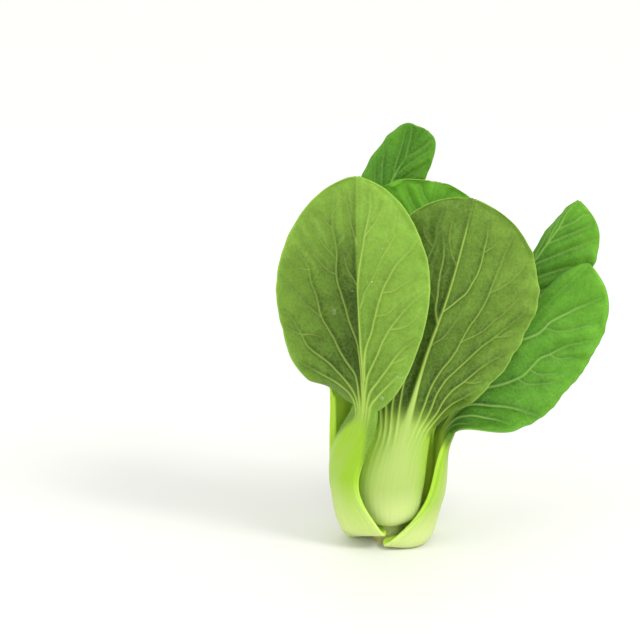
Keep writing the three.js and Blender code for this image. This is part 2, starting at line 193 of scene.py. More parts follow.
class Leaf:
    # a thick sheet: s runs up the midrib from the root, t across it, both in mm

    def __init__(self, name, shape):
        self.name = name
        self.__dict__.update(usual, **shape)
        (rootRadius, rootHeight), (rootTurn, bellyTurn) = self.root, self.azimuth
        heelRadius = rootRadius + 0.62 * (self.belly - rootRadius)
        points = np.array([
            around(rootTurn, rootRadius, rootHeight),
            around(rootTurn + 0.3 * (bellyTurn - rootTurn), heelRadius, rootHeight - 0.4),
            around(bellyTurn, self.belly, rootHeight + tissue["bellyLift"] * self.belly),
            *self.rib])
        chords = np.append(0, np.cumsum(np.linalg.norm(np.diff(points, axis=0), axis=1)))
        walk = np.linspace(0, chords[-1], 481)
        self.places = np.stack([through(chords, points[:, k], walk) for k in range(3)], axis=1)
        steps = np.linalg.norm(np.diff(self.places, axis=0), axis=1)
        self.runs = np.append(0, np.cumsum(steps))
        self.marks = np.interp(chords, walk, self.runs)
        self.length = self.runs[-1]
        self.neck = self.marks[3]
        self.bladeLength = self.length - self.neck

    def place(self, s):
        return np.stack([np.interp(s, self.runs, self.places[:, k]) for k in range(3)], axis=-1)

    def upBlade(self, s):
        return np.clip((s - self.neck) / self.bladeLength, 0, 1)

    def halfWidth(self, s, half):
        x = self.upBlade(s)
        rise, fall = self.swell[half]
        peak = rise / (rise + fall)
        shape = x**rise * (1 - x)**fall / (peak**rise * (1 - peak)**fall)
        neckWidth = self.stalk[half][3]
        reach = self.width[half] - neckWidth * (1 - peak)**2
        blade = np.maximum(neckWidth * (1 - x)**2 + reach * shape, 0.8)
        stalk = through(self.marks[:4], self.stalk[half], np.minimum(s, self.neck))
        rounded = 0.35 + 0.65 * np.sqrt(1 - (1 - np.clip(s / 5, 0, 1))**2)
        return np.where(s <= self.neck, stalk * rounded, blade)

    def eachHalf(self, t, pair):
        return np.where(t > 0, pair[1], pair[0])

    def middle(self, s, t):
        place = self.place(s)
        along = self.place(s + 0.5) - self.place(s - 0.5)
        along /= np.linalg.norm(along, axis=-1, keepdims=True)
        turn = np.radians(through(self.marks[2:], self.facing, s))
        back = np.stack([np.sin(turn), -np.cos(turn), 0 * turn], axis=-1)
        across = np.cross(along, back)
        across /= np.linalg.norm(across, axis=-1, keepdims=True)
        out = np.cross(across, along)
        x = self.upBlade(s)
        reach = np.abs(t)
        blade = smooth(0, 0.3, x)
        easing = 1 - 0.25 * smooth(0.75, 1, x)
        radius = np.hypot(place[..., 0], place[..., 1])
        slight = np.abs(self.eachHalf(t, self.fold)) < tissue["slightFold"]
        crease = tissue["foldRadius"] * (1 + 2.5 * slight * smooth(0.45, 0.9, x))
        fold = blade * easing * np.radians(self.eachHalf(t, self.fold))
        bend = ((1 - smooth(0, self.wrap, x)) / np.maximum(radius, 8)
                + blade * np.radians(self.eachHalf(t, self.curl)) / tissue["curlSpan"])
        sideways, inwards, steps = 0 * t, 0 * t, 14
        for k in range(steps):
            walked = reach * (k + 0.5) / steps
            angle = fold * (1 - np.exp(-walked / crease)) + bend * walked
            sideways = sideways + np.cos(angle) * reach / steps
            inwards = inwards + np.sin(angle) * reach / steps
        own = place + across * (np.sign(t) * sideways)[..., None] - out * inwards[..., None]
        swing = np.arctan2(place[..., 0], -place[..., 1]) + t / np.maximum(radius, 3)
        ring = np.stack([radius * np.sin(swing), -radius * np.cos(swing), place[..., 2]], axis=-1)
        share = smooth(self.marks[2], self.marks[3], s)[..., None]
        point = ring * (1 - share) + own * share
        height, number, phase = self.waves
        q = np.minimum(reach / self.eachHalf(t, (self.halfWidth(s, 0), self.halfWidth(s, 1))), 1)
        side = np.sign(t)
        beat = 2 * pi * number * x * (1 + 0.07 * side) + phase + 1.3 * side
        return point + out * (height * q**2.2 * blade * np.sin(beat))[..., None]

    def thickness(self, s, t):
        # of the margin, and what the core adds to it
        up = [self.neck + share * self.bladeLength for share in (0.15, 0.5, 1)]
        keys = [*self.marks[:4], *up]
        edge = through(keys, tissue["edge"], s)
        core = through(keys, np.array(tissue["core"]) * self.stout, s)
        thick = np.exp(-(t / through(keys, tissue["spread"], s))**2)
        return edge, np.maximum(core - edge, 0) * thick


# Routes of the main veins and their forks, for the left and the right half. A point is the
# share of the blade's length above the neck and the share of that half's width there.
# Those of the three blades that face the viewer follow the real head; the others fan out alike.
veinRoutes = {
    "leaf_front_left": (
        dict(main=(
            ((-0.15, 0.1), (0.0, 0.06), (0.1, 0.03), (0.2, 0.02), (0.3, 0.04), (0.4, 0.12),
             (0.5, 0.19), (0.6, 0.25), (0.7, 0.27), (0.8, 0.37), (0.9, 0.52)),
            ((-0.2, 0.3), (-0.02, 0.18), (0.06, 0.1), (0.14, 0.12), (0.22, 0.24), (0.29, 0.33),
             (0.4, 0.46), (0.48, 0.5), (0.56, 0.58), (0.62, 0.61), (0.66, 0.71), (0.7, 0.86)),
            ((-0.2, 0.5), (-0.02, 0.3), (0.05, 0.18), (0.12, 0.3), (0.19, 0.45), (0.27, 0.71),
             (0.31, 0.745), (0.37, 0.83), (0.41, 0.93)),
            ((-0.2, 0.7), (-0.03, 0.45), (0.02, 0.28), (0.1, 0.46), (0.14, 0.66), (0.18, 0.88))),
            fork=(
            ((0.6, 0.26), (0.61, 0.36), (0.66, 0.52), (0.7, 0.64), (0.76, 0.8), (0.8, 0.93)),
            ((0.67, 0.28), (0.71, 0.42), (0.77, 0.6), (0.82, 0.78)),
            ((0.79, 0.36), (0.82, 0.52), (0.86, 0.7)),
            ((0.4, 0.46), (0.43, 0.58), (0.47, 0.71), (0.53, 0.83), (0.58, 0.95)),
            ((0.61, 0.6), (0.62, 0.78), (0.65, 0.9)),
            ((0.31, 0.745), (0.32, 0.87), (0.34, 0.96)),
            ((0.31, 0.74), (0.315, 0.62), (0.3, 0.47)),
            ((0.56, 0.0), (0.6, 0.08), (0.67, 0.15), (0.71, 0.2)),
            ((0.73, 0.0), (0.76, 0.02), (0.8, 0.08), (0.87, 0.17), (0.94, 0.26)))),
        dict(main=(
            ((-0.15, 0.12), (0.0, 0.06), (0.08, 0.03), (0.16, 0.1), (0.25, 0.27), (0.345, 0.43),
             (0.4, 0.55), (0.455, 0.72), (0.49, 0.85), (0.51, 0.94)),
            ((0.14, 0.02), (0.22, 0.04), (0.29, 0.09), (0.335, 0.15), (0.395, 0.2), (0.465, 0.27),
             (0.54, 0.35), (0.6, 0.46), (0.64, 0.56), (0.67, 0.67), (0.71, 0.82), (0.75, 0.94)),
            ((-0.2, 0.4), (-0.02, 0.26), (0.03, 0.14), (0.08, 0.17), (0.13, 0.34), (0.17, 0.46),
             (0.22, 0.6), (0.26, 0.74), (0.3, 0.9)),
            ((-0.2, 0.7), (-0.02, 0.45), (0.02, 0.32), (0.08, 0.5), (0.13, 0.7), (0.17, 0.88)),
            ((0.42, 0.0), (0.54, 0.0), (0.6, 0.02), (0.66, 0.05), (0.73, 0.1), (0.79, 0.16),
             (0.86, 0.25), (0.94, 0.42))),
            fork=(
            ((0.355, 0.46), (0.36, 0.66), (0.39, 0.82), (0.41, 0.92)),
            ((0.52, 0.32), (0.52, 0.47), (0.545, 0.61), (0.57, 0.75), (0.6, 0.88)),
            ((0.42, 0.22), (0.42, 0.37), (0.45, 0.5), (0.5, 0.66), (0.53, 0.78)),
            ((0.46, 0.02), (0.53, 0.1), (0.57, 0.19), (0.62, 0.27), (0.67, 0.35), (0.73, 0.46)),
            ((0.76, 0.13), (0.8, 0.27), (0.84, 0.4), (0.9, 0.62)),
            ((0.2, 0.54), (0.21, 0.72), (0.235, 0.88)),
            ((0.67, 0.35), (0.73, 0.52), (0.79, 0.68))))),
    "leaf_front": (
        dict(main=(
            ((-0.3, 0.26), (0.0, 0.25), (0.1, 0.25), (0.18, 0.24), (0.3, 0.26), (0.42, 0.29),
             (0.55, 0.33), (0.707, 0.365), (0.797, 0.37), (0.864, 0.45), (0.93, 0.56)),
            ((-0.3, 0.46), (0.0, 0.44), (0.1, 0.42), (0.18, 0.4), (0.28, 0.46), (0.4, 0.56),
             (0.52, 0.68), (0.62, 0.8), (0.7, 0.92)),
            ((-0.28, 0.64), (0.0, 0.6), (0.1, 0.58), (0.17, 0.6), (0.24, 0.7), (0.31, 0.8),
             (0.38, 0.92)),
            ((-0.25, 0.8), (0.0, 0.76), (0.08, 0.74), (0.14, 0.78), (0.19, 0.9)),
            ((0.47, 0.0), (0.53, 0.08), (0.58, 0.117), (0.65, 0.16), (0.72, 0.175),
             (0.785, 0.23), (0.84, 0.33))),
            fork=(
            ((0.78, 0.38), (0.81, 0.52), (0.87, 0.7)),
            ((0.72, 0.0), (0.766, 0.095), (0.825, 0.21), (0.882, 0.26), (0.93, 0.3)),
            ((0.4, 0.56), (0.43, 0.68), (0.46, 0.8), (0.5, 0.92)),
            ((0.3, 0.27), (0.36, 0.38), (0.46, 0.46), (0.56, 0.54), (0.66, 0.62), (0.76, 0.74)))),
        dict(main=(
            ((0.53, 0.0), (0.585, 0.12), (0.62, 0.185), (0.673, 0.225), (0.73, 0.265),
             (0.8, 0.29), (0.853, 0.32), (0.92, 0.38)),
            ((-0.3, 0.27), (0.0, 0.25), (0.05, 0.25), (0.123, 0.24), (0.19, 0.215), (0.277, 0.26),
             (0.342, 0.3), (0.438, 0.33), (0.5, 0.35), (0.576, 0.39), (0.643, 0.43),
             (0.713, 0.47), (0.79, 0.55), (0.84, 0.65), (0.88, 0.76)),
            ((-0.3, 0.45), (0.0, 0.42), (0.1, 0.41), (0.18, 0.35), (0.245, 0.38), (0.3, 0.44),
             (0.356, 0.5), (0.418, 0.58), (0.47, 0.67), (0.53, 0.76), (0.6, 0.88)),
            ((-0.28, 0.63), (0.0, 0.6), (0.1, 0.57), (0.14, 0.54), (0.206, 0.55), (0.26, 0.63),
             (0.304, 0.69), (0.357, 0.76), (0.42, 0.88)),
            ((-0.25, 0.8), (0.0, 0.75), (0.06, 0.71), (0.115, 0.7), (0.165, 0.74), (0.22, 0.86))),
            fork=(
            ((0.38, 0.0), (0.417, 0.1), (0.475, 0.155), (0.54, 0.19), (0.59, 0.21)),
            ((0.8, 0.29), (0.83, 0.42), (0.87, 0.55)),
            ((0.645, 0.44), (0.68, 0.56), (0.72, 0.68), (0.763, 0.81), (0.8, 0.93)),
            ((0.42, 0.325), (0.444, 0.41), (0.475, 0.49), (0.534, 0.58), (0.576, 0.66),
             (0.62, 0.72), (0.67, 0.81), (0.72, 0.92)),
            ((0.47, 0.67), (0.48, 0.77), (0.5, 0.9)),
            ((0.25, 0.62), (0.25, 0.74), (0.27, 0.87))))),
    "leaf_right": (
        dict(main=(
            ((-0.12, 0.12), (0.0, 0.06), (0.1, 0.02), (0.2, 0.02), (0.245, 0.09), (0.315, 0.25),
             (0.385, 0.36), (0.43, 0.4), (0.465, 0.41), (0.525, 0.42), (0.565, 0.47),
             (0.632, 0.56), (0.705, 0.72), (0.77, 0.9)),
            ((0.5, 0.0), (0.53, 0.05), (0.565, 0.12), (0.605, 0.18), (0.645, 0.2), (0.685, 0.2),
             (0.715, 0.23), (0.785, 0.33), (0.86, 0.47), (0.935, 0.72)),
            ((-0.12, 0.4), (0.02, 0.16), (0.09, 0.08), (0.14, 0.12), (0.175, 0.22), (0.22, 0.4),
             (0.255, 0.55), (0.285, 0.73), (0.31, 0.9)),
            ((-0.12, 0.6), (0.02, 0.25), (0.07, 0.22), (0.1, 0.32), (0.125, 0.42), (0.15, 0.55),
             (0.18, 0.68), (0.205, 0.85))),
            fork=(
            ((0.385, 0.36), (0.39, 0.5), (0.425, 0.62), (0.47, 0.75), (0.5, 0.87)),
            ((0.455, 0.41), (0.46, 0.53), (0.49, 0.63), (0.53, 0.74)),
            ((0.565, 0.48), (0.58, 0.6), (0.62, 0.73), (0.65, 0.85)),
            ((0.65, 0.21), (0.67, 0.33), (0.72, 0.5), (0.79, 0.66), (0.85, 0.84)),
            ((-0.06, 0.8), (0.01, 0.45), (0.04, 0.42), (0.065, 0.6), (0.09, 0.8)))),
        None),
}


def fanRoutes(draw, ribEnd):
    # a half blade's veins: three strands out of the stalk, then laterals off the midrib
    strands = [
        ((-0.18, 0.24), (0.03, 0.2), (0.13, 0.22), (0.26, 0.32), (0.42, 0.5), (0.54, 0.7),
         (0.62, 0.91)),
        ((-0.18, 0.46), (0.02, 0.4), (0.1, 0.45), (0.19, 0.56), (0.3, 0.74), (0.39, 0.92)),
        ((-0.18, 0.7), (0.02, 0.62), (0.07, 0.66), (0.13, 0.78), (0.19, 0.92))]
    bend = ((0.0, 0.0), (0.05, 0.09), (0.12, 0.24), (0.2, 0.45), (0.26, 0.66), (0.31, 0.9))
    starts = np.array((0.3, 0.44, 0.57, 0.68, 0.78, 0.87)) + draw.uniform(-0.02, 0.02, 6)
    laterals = [[(min(x0 + x * (1.35 - x0) * stretch, 0.98), q) for x, q in bend]
                for x0, stretch in zip(starts, draw.uniform(0.85, 1.2, 6)) if x0 < ribEnd]
    forks = []
    for route in strands[:2] + laterals[:4]:
        x, q = route[3]
        reach = draw.uniform(0.8, 1.2)
        forks.append(((x, q), (x + 0.01, q + 0.1 * reach), (x + 0.04, q + 0.2 * reach),
                      (x + 0.08, min(q + 0.32 * reach, 0.93))))
    return dict(main=strands + laterals, fork=forks)


def routePath(leaf, route, side, half, draw):
    # smooth path through a route in mm, with the small wander of a real vein
    x, q = np.array(route).T
    s = leaf.neck + x * leaf.bladeLength
    points = np.stack([s, side * q * leaf.halfWidth(s, half)], axis=-1)
    chords = np.append(0, np.cumsum(np.linalg.norm(np.diff(points, axis=0), axis=1)))
    walk = np.linspace(0, chords[-1], max(int(chords[-1] / 1.3), 4))
    path = np.stack([through(chords, points[:, k], walk) for k in (0, 1)], axis=-1)
    wander = 0.16 * np.sin(walk / 3.4 + draw.uniform(0, 6))
    wander = wander + 0.05 * np.sin(walk / 1.3 + draw.uniform(0, 6))
    path[:, 1] += wander * smooth(0.02, 0.2, leaf.upBlade(path[:, 0])) * (side * path[:, 1] > 1.2)
    return path


def growVeins(leaf):
    # paths (s, t) with a level: 0 main, 1 fork, 2 and 3 twigs
    draw = np.random.default_rng(leaf.seed)
    veins = []
    for half, side in ((0, -1), (1, 1)):
        routes = veinRoutes.get(leaf.name, (None, None))[half] or fanRoutes(draw, leaf.ribEnd)
        for level, kind in ((0, "main"), (1, "fork")):
            for route in routes[kind]:
                path = routePath(leaf, route, side, half, draw)
                veins.append((path, level))
                veins += twigs(leaf, path, side, half, 2, draw)
    return veins


def twigs(leaf, path, side, half, level, draw):
    # short veins that leave another on alternate sides and lean back along it
    found = []
    lengths = np.append(0, np.cumsum(np.linalg.norm(np.diff(path, axis=0), axis=1)))
    total = lengths[-1]
    count = int(total // (7.0 if level == 2 else 4.5))
    flip = 1 if draw.random() < 0.5 else -1
    for k in range(count):
        at = total * (k + 0.75 + draw.uniform(-0.3, 0.3)) / (count + 0.6)
        flip = -flip
        here = np.array([np.interp(at, lengths, path[:, 0]), np.interp(at, lengths, path[:, 1])])
        ahead = np.array([np.interp(at + 0.8, lengths, path[:, 0]),
                          np.interp(at + 0.8, lengths, path[:, 1])]) - here
        heading = np.arctan2(ahead[1], ahead[0])
        x = leaf.upBlade(here[0])
        if x <= 0.07 or x > 0.96:
            continue
        reach = (7.5 if level == 2 else 3.6) * draw.uniform(0.6, 1.3)
        angle = heading + flip * radians(draw.uniform(42, 68))
        points = [here]
        for step in range(8):
            angle += (heading - angle) * 0.09 + draw.uniform(-0.12, 0.12)
            here = here + np.array([cos(angle), sin(angle)]) * reach / 8
            width = leaf.halfWidth(here[0], half)
            if side * here[1] < 1.0 or side * here[1] > 0.96 * width or here[0] > leaf.length - 1.5:
                break
            points.append(here)
        if len(points) < 3:
            continue
        twig = np.array(points)
        found.append((twig, level))
        if level == 2:
            found += twigs(leaf, twig, side, half, 3, draw)
    return found


# Half widths, heights on the back and tints of the veins by level, in mm: what they are,
# what the first millimetres out of the stalk add, and what is lost by their end
veinSizes = (
    dict(width=(0.34, 0.32, 0.04), height=(0.42, 0.30, 0.22), tint=(0.72, 0.28, 0.26)),
    dict(width=(0.31, 0.15, 0.02), height=(0.24, 0.10, 0.13), tint=(0.48, 0.20, 0.20)),
    dict(width=(0.27, 0.0, 0.02), height=(0.08, 0.0, 0.04), tint=(0.20, 0.0, 0.09)),
    dict(width=(0.26, 0.0, 0.02), height=(0.04, 0.0, 0.02), tint=(0.11, 0.0, 0.04)),
)


def veinFields(leaf, rows, columns, t):
    # tint and ridge height on the grid, the shade on a vein's inner side, and the distance to
    # the nearest large vein
    tint, ridge, shaded = np.zeros(t.shape), np.zeros(t.shape), np.zeros(t.shape)
    nearest = np.full(t.shape, 99.0)
    centre = int(np.argmin(np.abs(columns)))
    for path, level in growVeins(leaf):
        count = len(path) - 1
        side = -1 if path[-1, 1] < 0 else 1
        block = slice(0, centre + 1) if side < 0 else slice(centre, len(columns))
        for k in range(count):
            a, b = path[k], path[k + 1]
            x = (a[0] - leaf.neck) / leaf.bladeLength
            base = np.exp(-max(x, 0) / 0.16)
            ends = smooth(-0.13, 0.02, x) * (1 - 0.85 * smooth(0.7, 1.0, (k + 0.5) / count))
            width, height, shade = (
                size[0] + size[1] * base - size[2] * (k + 0.5) / count
                for size in (veinSizes[level][kind] for kind in ("width", "height", "tint")))
            shade *= leaf.veinTint
            if level == 0:
                width, height = width * leaf.veinSize, height * leaf.veinSize
            margin = 6.0 if level < 2 else 3 * width
            low, high = np.searchsorted(rows, [min(a[0], b[0]) - margin, max(a[0], b[0]) + margin])
            if high <= low:
                continue
            ds = rows[low:high, None] - a[0]
            dt = t[low:high, block] - a[1]
            span = b - a
            along = np.clip((ds * span[0] + dt * span[1]) / (span @ span), 0, 1)
            distance = np.hypot(ds - along * span[0], dt - along * span[1])
            bump = np.exp(-(distance / width)**2) * ends
            tint[low:high, block] = np.maximum(tint[low:high, block], shade * bump)
            ridge[low:high, block] = np.maximum(ridge[low:high, block], height * bump)
            if level < 2:
                reach = distance + (0 if level == 0 else 1.2)
                nearest[low:high, block] = np.minimum(nearest[low:high, block], reach)
                inner = smooth(0.4, -0.2, side * (dt - along * span[1]))
                dark = np.exp(-distance / (2.0 - level)) * inner * ends * (0.6 + 0.4 * base)
                shaded[low:high, block] = np.maximum(shaded[low:high, block], dark)
    return tint, ridge, shaded, nearest


def leafGrid(leaf):
    # rows and columns, closer together on the blade and at its margins
    start = leaf.neck - 12
    stalkRows = np.linspace(0, start, max(int(start / tissue["stalkStep"]), 12))
    bladeRows = np.arange(start + leaf.fine, leaf.length - 0.4, leaf.fine)
    tipRows = leaf.length - np.array([0.3, 0.15, 0.05])
    rows = np.concatenate([stalkRows, bladeRows, tipRows])
    leftCount, rightCount = (int(width / leaf.fine) for width in leaf.width)
    columns = np.concatenate([
        [-1, -0.9975, -0.992], np.linspace(-0.982, 0, leftCount + 1)[:-1],
        np.linspace(0, 0.982, rightCount + 1), [0.992, 0.9975, 1]])
    return rows, columns


def leafMesh(leaf):
    # closed grid mesh with the leaf's growth written on its points
    rows, columns = leafGrid(leaf)
    s, share = np.meshgrid(rows, columns, indexing="ij")
    x = leaf.upBlade(s)
    left, right = leaf.halfWidth(rows, 0)[:, None], leaf.halfWidth(rows, 1)[:, None]
    width = np.where(share > 0, right, left)
    draw = np.random.default_rng(leaf.seed + 100)
    side = np.sign(share)
    scallop = 0.8 * sum(np.sin(2 * pi * n * x * (1 + 0.05 * side) + draw.uniform(0, 6) + side) / n**0.5
                        for n in tissue["scallops"])
    inBlade = smooth(0.12, 0.3, x) * (1 - smooth(0.9, 1.0, x))
    t = share * (width - leaf.crenation * inBlade * (1 + scallop) * np.abs(share)**6)
    tint, ridge, shaded, nearest = veinFields(leaf, rows, columns, t)
    ribWidth = (0.32 + 0.95 * np.exp(-x / 0.25)) * leaf.ribSize
    ribTint = (0.95 - 0.35 * x) * (1 - smooth(leaf.ribEnd - 0.12, leaf.ribEnd, x))
    ribTint = ribTint * smooth(-10, 2, s - leaf.neck)
    tint = np.maximum(tint, ribTint * np.exp(-(t / ribWidth)**2))

    middle = leaf.middle(s, t)
    along, over = np.gradient(middle, axis=0), np.gradient(middle, axis=1)
    normal = np.cross(over, along)
    normal /= np.maximum(np.linalg.norm(normal, axis=-1, keepdims=True), 1e-9)
    toMargin = (1 - np.abs(share)) * width
    bladeMask = smooth(0.0, 0.18, x)
    nearest = np.minimum(nearest, np.abs(t))
    swell = tissue["pucker"] * (1 - np.exp(-(nearest / tissue["puckerReach"])**2))
    swell = swell * bladeMask * smooth(0, 3, toMargin)
    rolling = sum(np.sin(s / length + draw.uniform(0, 6)) * np.sin(t / length * 1.3 + draw.uniform(0, 6))
                  for length in tissue["rollingSizes"])
    rolling = rolling * tissue["rolling"] * bladeMask * smooth(1.0, 5.0, np.abs(t))
    frill = tissue["frill"] * leaf.crenation * inBlade * smooth(0.75, 1.0, np.abs(share)) * sum(
        np.sin(2 * pi * n * x + draw.uniform(0, 6) + side) for n in (8, 13))
    flute = tissue["stalkFlute"] * (1 - smooth(0, 0.12, x)) * np.cos(2 * pi * share * 7)
    rounding = np.sqrt(np.clip(1 - (1 - np.minimum(toMargin / tissue["rimRadius"], 1))**2, 0.06, 1))
    rounding = rounding * np.sqrt(np.clip(1 - (1 - np.minimum(s / 3, 1))**2, 0.02, 1))
    edge, core = leaf.thickness(s, t)
    half = (edge + core) / 2 * rounding
    shift = rolling + frill - swell + core / 2 * tissue["ribToBack"] * bladeMask
    back = middle + normal * (shift + half + ridge + flute)[..., None]
    front = middle + normal * (shift - half + 0.45 * ridge * bladeMask)[..., None]

    # where the pale stalk gives way to the green blade, and how close the margin is
    tongue = 0.6 * leaf.tongue * np.exp(-(share / leaf.pale)**2)
    rise = s - leaf.neck - tongue + leaf.wing * share**2
    pale = 1 - smooth(leaf.fade[0], leaf.fade[1], rise)
    look = leafLook
    rim = look["rimTint"] * np.exp(-(toMargin / look["rimWidth"])**2) * smooth(0, 0.1, x)
    nearMargin = np.exp(-toMargin / look["marginWidth"])
    base, up, right = leaf.tone
    reach, depth = leaf.hollow
    # painted shade: the left half darker beside the midrib, where its fold turns it from the light
    paintedMidribShade = np.exp(-np.abs(share / reach)**1.5) * (1 - smooth(-0.02, 0.02, share))
    paintedMidribShade = paintedMidribShade * smooth(0.0, 0.25, x) * (1 - smooth(0.5, 1.0, x))
    # painted shade: darker green just beside a vein and on its inner side, where the ridges would shadow
    # the blade
    paintedVeinShade = np.exp(-((nearest - 1.0) / 0.8)**2) * bladeMask
    innerShade = shaded * np.where(share < 0, *leaf.shade) * bladeMask
    tone = base + up * (x - 0.5) * 1.2 + right * np.clip(share * 1.4, -1, 1)
    tone = tone - depth * paintedMidribShade - look["veinShade"] * paintedVeinShade - innerShade
    tone = tone + (leaf.lime - tone) * pale
    upStalk = s / leaf.neck
    upper = np.clip((upStalk - 0.45) / 0.6, 0, 1)
    flank = np.abs(share)**1.4 + look["upperGreen"] * upper + 0.7 * tone
    tone = tone + look["marginLift"] * nearMargin * (1 - pale)
    growth = np.stack([tint, pale, rim], -1)
    place = np.stack([flank, upStalk, tone], -1)
    flat = np.stack([s, t, share], -1)
    leaf.surface = rows, t, back, normal
    mesh = closedSheet(leaf.name, back, front)
    writeColour(mesh, "growth", growth)
    writeColour(mesh, "place", place)
    attribute = mesh.attributes.new("flat", "FLOAT_VECTOR", "POINT")
    bothSides = np.concatenate([flat.reshape(-1, 3)] * 2)
    attribute.data.foreach_set("vector", bothSides.astype(np.float32).ravel())
    return mesh


def closedSheet(name, back, front):
    # a solid from two grids of points in mm
    points = np.concatenate([back.reshape(-1, 3), front.reshape(-1, 3)])
    points[:, 2] = np.maximum(points[:, 2], 0)
    rowCount, columnCount = back.shape[:2]
    behind = rowCount * columnCount
    index = np.arange(behind).reshape(rowCount, columnCount)
    a, b = index[:-1, :-1].ravel(), index[:-1, 1:].ravel()
    c, d = index[1:, 1:].ravel(), index[1:, :-1].ravel()
    loop = np.concatenate([index[0, :-1], index[:-1, -1], index[-1, :0:-1], index[:0:-1, 0]])
    following = np.roll(loop, -1)
    faces = np.concatenate([
        np.stack([a, b, c, d], 1), np.stack([a, d, c, b], 1) + behind,
        np.stack([following, loop, loop + behind, following + behind], 1)])
    mesh = bpy.data.meshes.new(name)
    mesh.vertices.add(len(points))
    mesh.vertices.foreach_set("co", (points * mm).astype(np.float32).ravel())
    mesh.loops.add(faces.size)
    mesh.loops.foreach_set("vertex_index", faces.astype(np.int32).ravel())
    mesh.polygons.add(len(faces))
    mesh.polygons.foreach_set("loop_start", np.arange(0, faces.size, 4, dtype=np.int32))
    mesh.polygons.foreach_set("use_smooth", np.ones(len(faces), bool))
    mesh.update(calc_edges=True)
    return mesh


def writeColour(mesh, name, values):
    # three values a point; the fourth is 0 on the leaf's back and 1 on its front
    values = values.reshape(-1, 3)
    sides = [np.column_stack([values, np.full(len(values), side)]) for side in (0.0, 1.0)]
    attribute = mesh.attributes.new(name, "FLOAT_COLOR", "POINT")
    attribute.data.foreach_set("color", np.concatenate(sides).astype(np.float32).ravel())


# Materials
colourMix = dict(data_type="RGBA")
valueMix = dict(data_type="FLOAT")


def toLinear(hexColour):
    channels = [int(hexColour[k:k + 2], 16) / 255 for k in (1, 3, 5)]
    return [c / 12.92 if c <= 0.04045 else ((c + 0.055) / 1.055)**2.4 for c in channels] + [1]


def addNode(tree, kind, settings=None, **links):
    # a node with its properties set, and its sockets set or linked by name or as i0, i1 ...
    node = tree.nodes.new(kind)
    for key, value in (settings or {}).items():
        setattr(node, key, value)
    for key, value in links.items():
        socket = node.inputs[int(key[1:]) if key[1:].isdigit() else key.replace("_", " ")]
        if isinstance(value, bpy.types.NodeSocket):
            tree.links.new(value, socket)
        else:
            socket.default_value = toLinear(value) if isinstance(value, str) else value
    return node


def newMaterial(name):
    material = bpy.data.materials.new(name)
    material.use_nodes = True
    material.node_tree.nodes.clear()
    return material, material.node_tree


# Fresh brassica leaf: living tissue under a thin wax bloom. The bloom gives a soft broad
# gloss, the back is greyer than the front, and thin parts let yellowish light through.
leafLook = dict(
    backShade="#30480f", backLight="#7ba23a", frontShade="#1a4608", frontLight="#66a42c",
    backVein="#9db850", frontVein="#8fb65a", backRim="#8fb04a", frontRim="#5f9038",
    stalkHeart="#a2b866", stalkFlank="#90b62f", stalkBase="#d3dc9a", stalkStrand="#7fa233",
    # stalkPaintedLight is painted light: the stalk as if lit through where it lies in shade
    stalkInside="#b7dc4a", stalkPaintedLight="#bfdc48",
    mottleSize=9.0,      # mm across a patch of lighter green
    speckSize=1.1,       # mm across a speck
    netSize=2.4,         # mm across a mesh of the finest veins, coarser than the real 1 mm
    strandSize=0.9,      # mm between strands in a stalk
    mottle=0.5, speck=0.35, netTint=0.11, strandTint=0.4,  # how much each of them shows
    rimWidth=0.55, rimTint=0.75,       # the pale line along a blade's margin
    marginWidth=5.0, marginLift=0.22,  # the broad band inside it that is lighter
    # veinShade is painted shade just beside a vein, where its ridge would shadow the blade
    veinShade=0.12,      # darkening just beside a vein
    upperGreen=0.55,     # how much greener a stalk gets towards its neck
    bladeRoughness=0.5, stalkRoughness=0.3,
    bladeDepth=0.8, stalkDepth=3.5,    # mm that light spreads inside
    specular=0.16,       # the wax bloom scatters most of the gloss
)


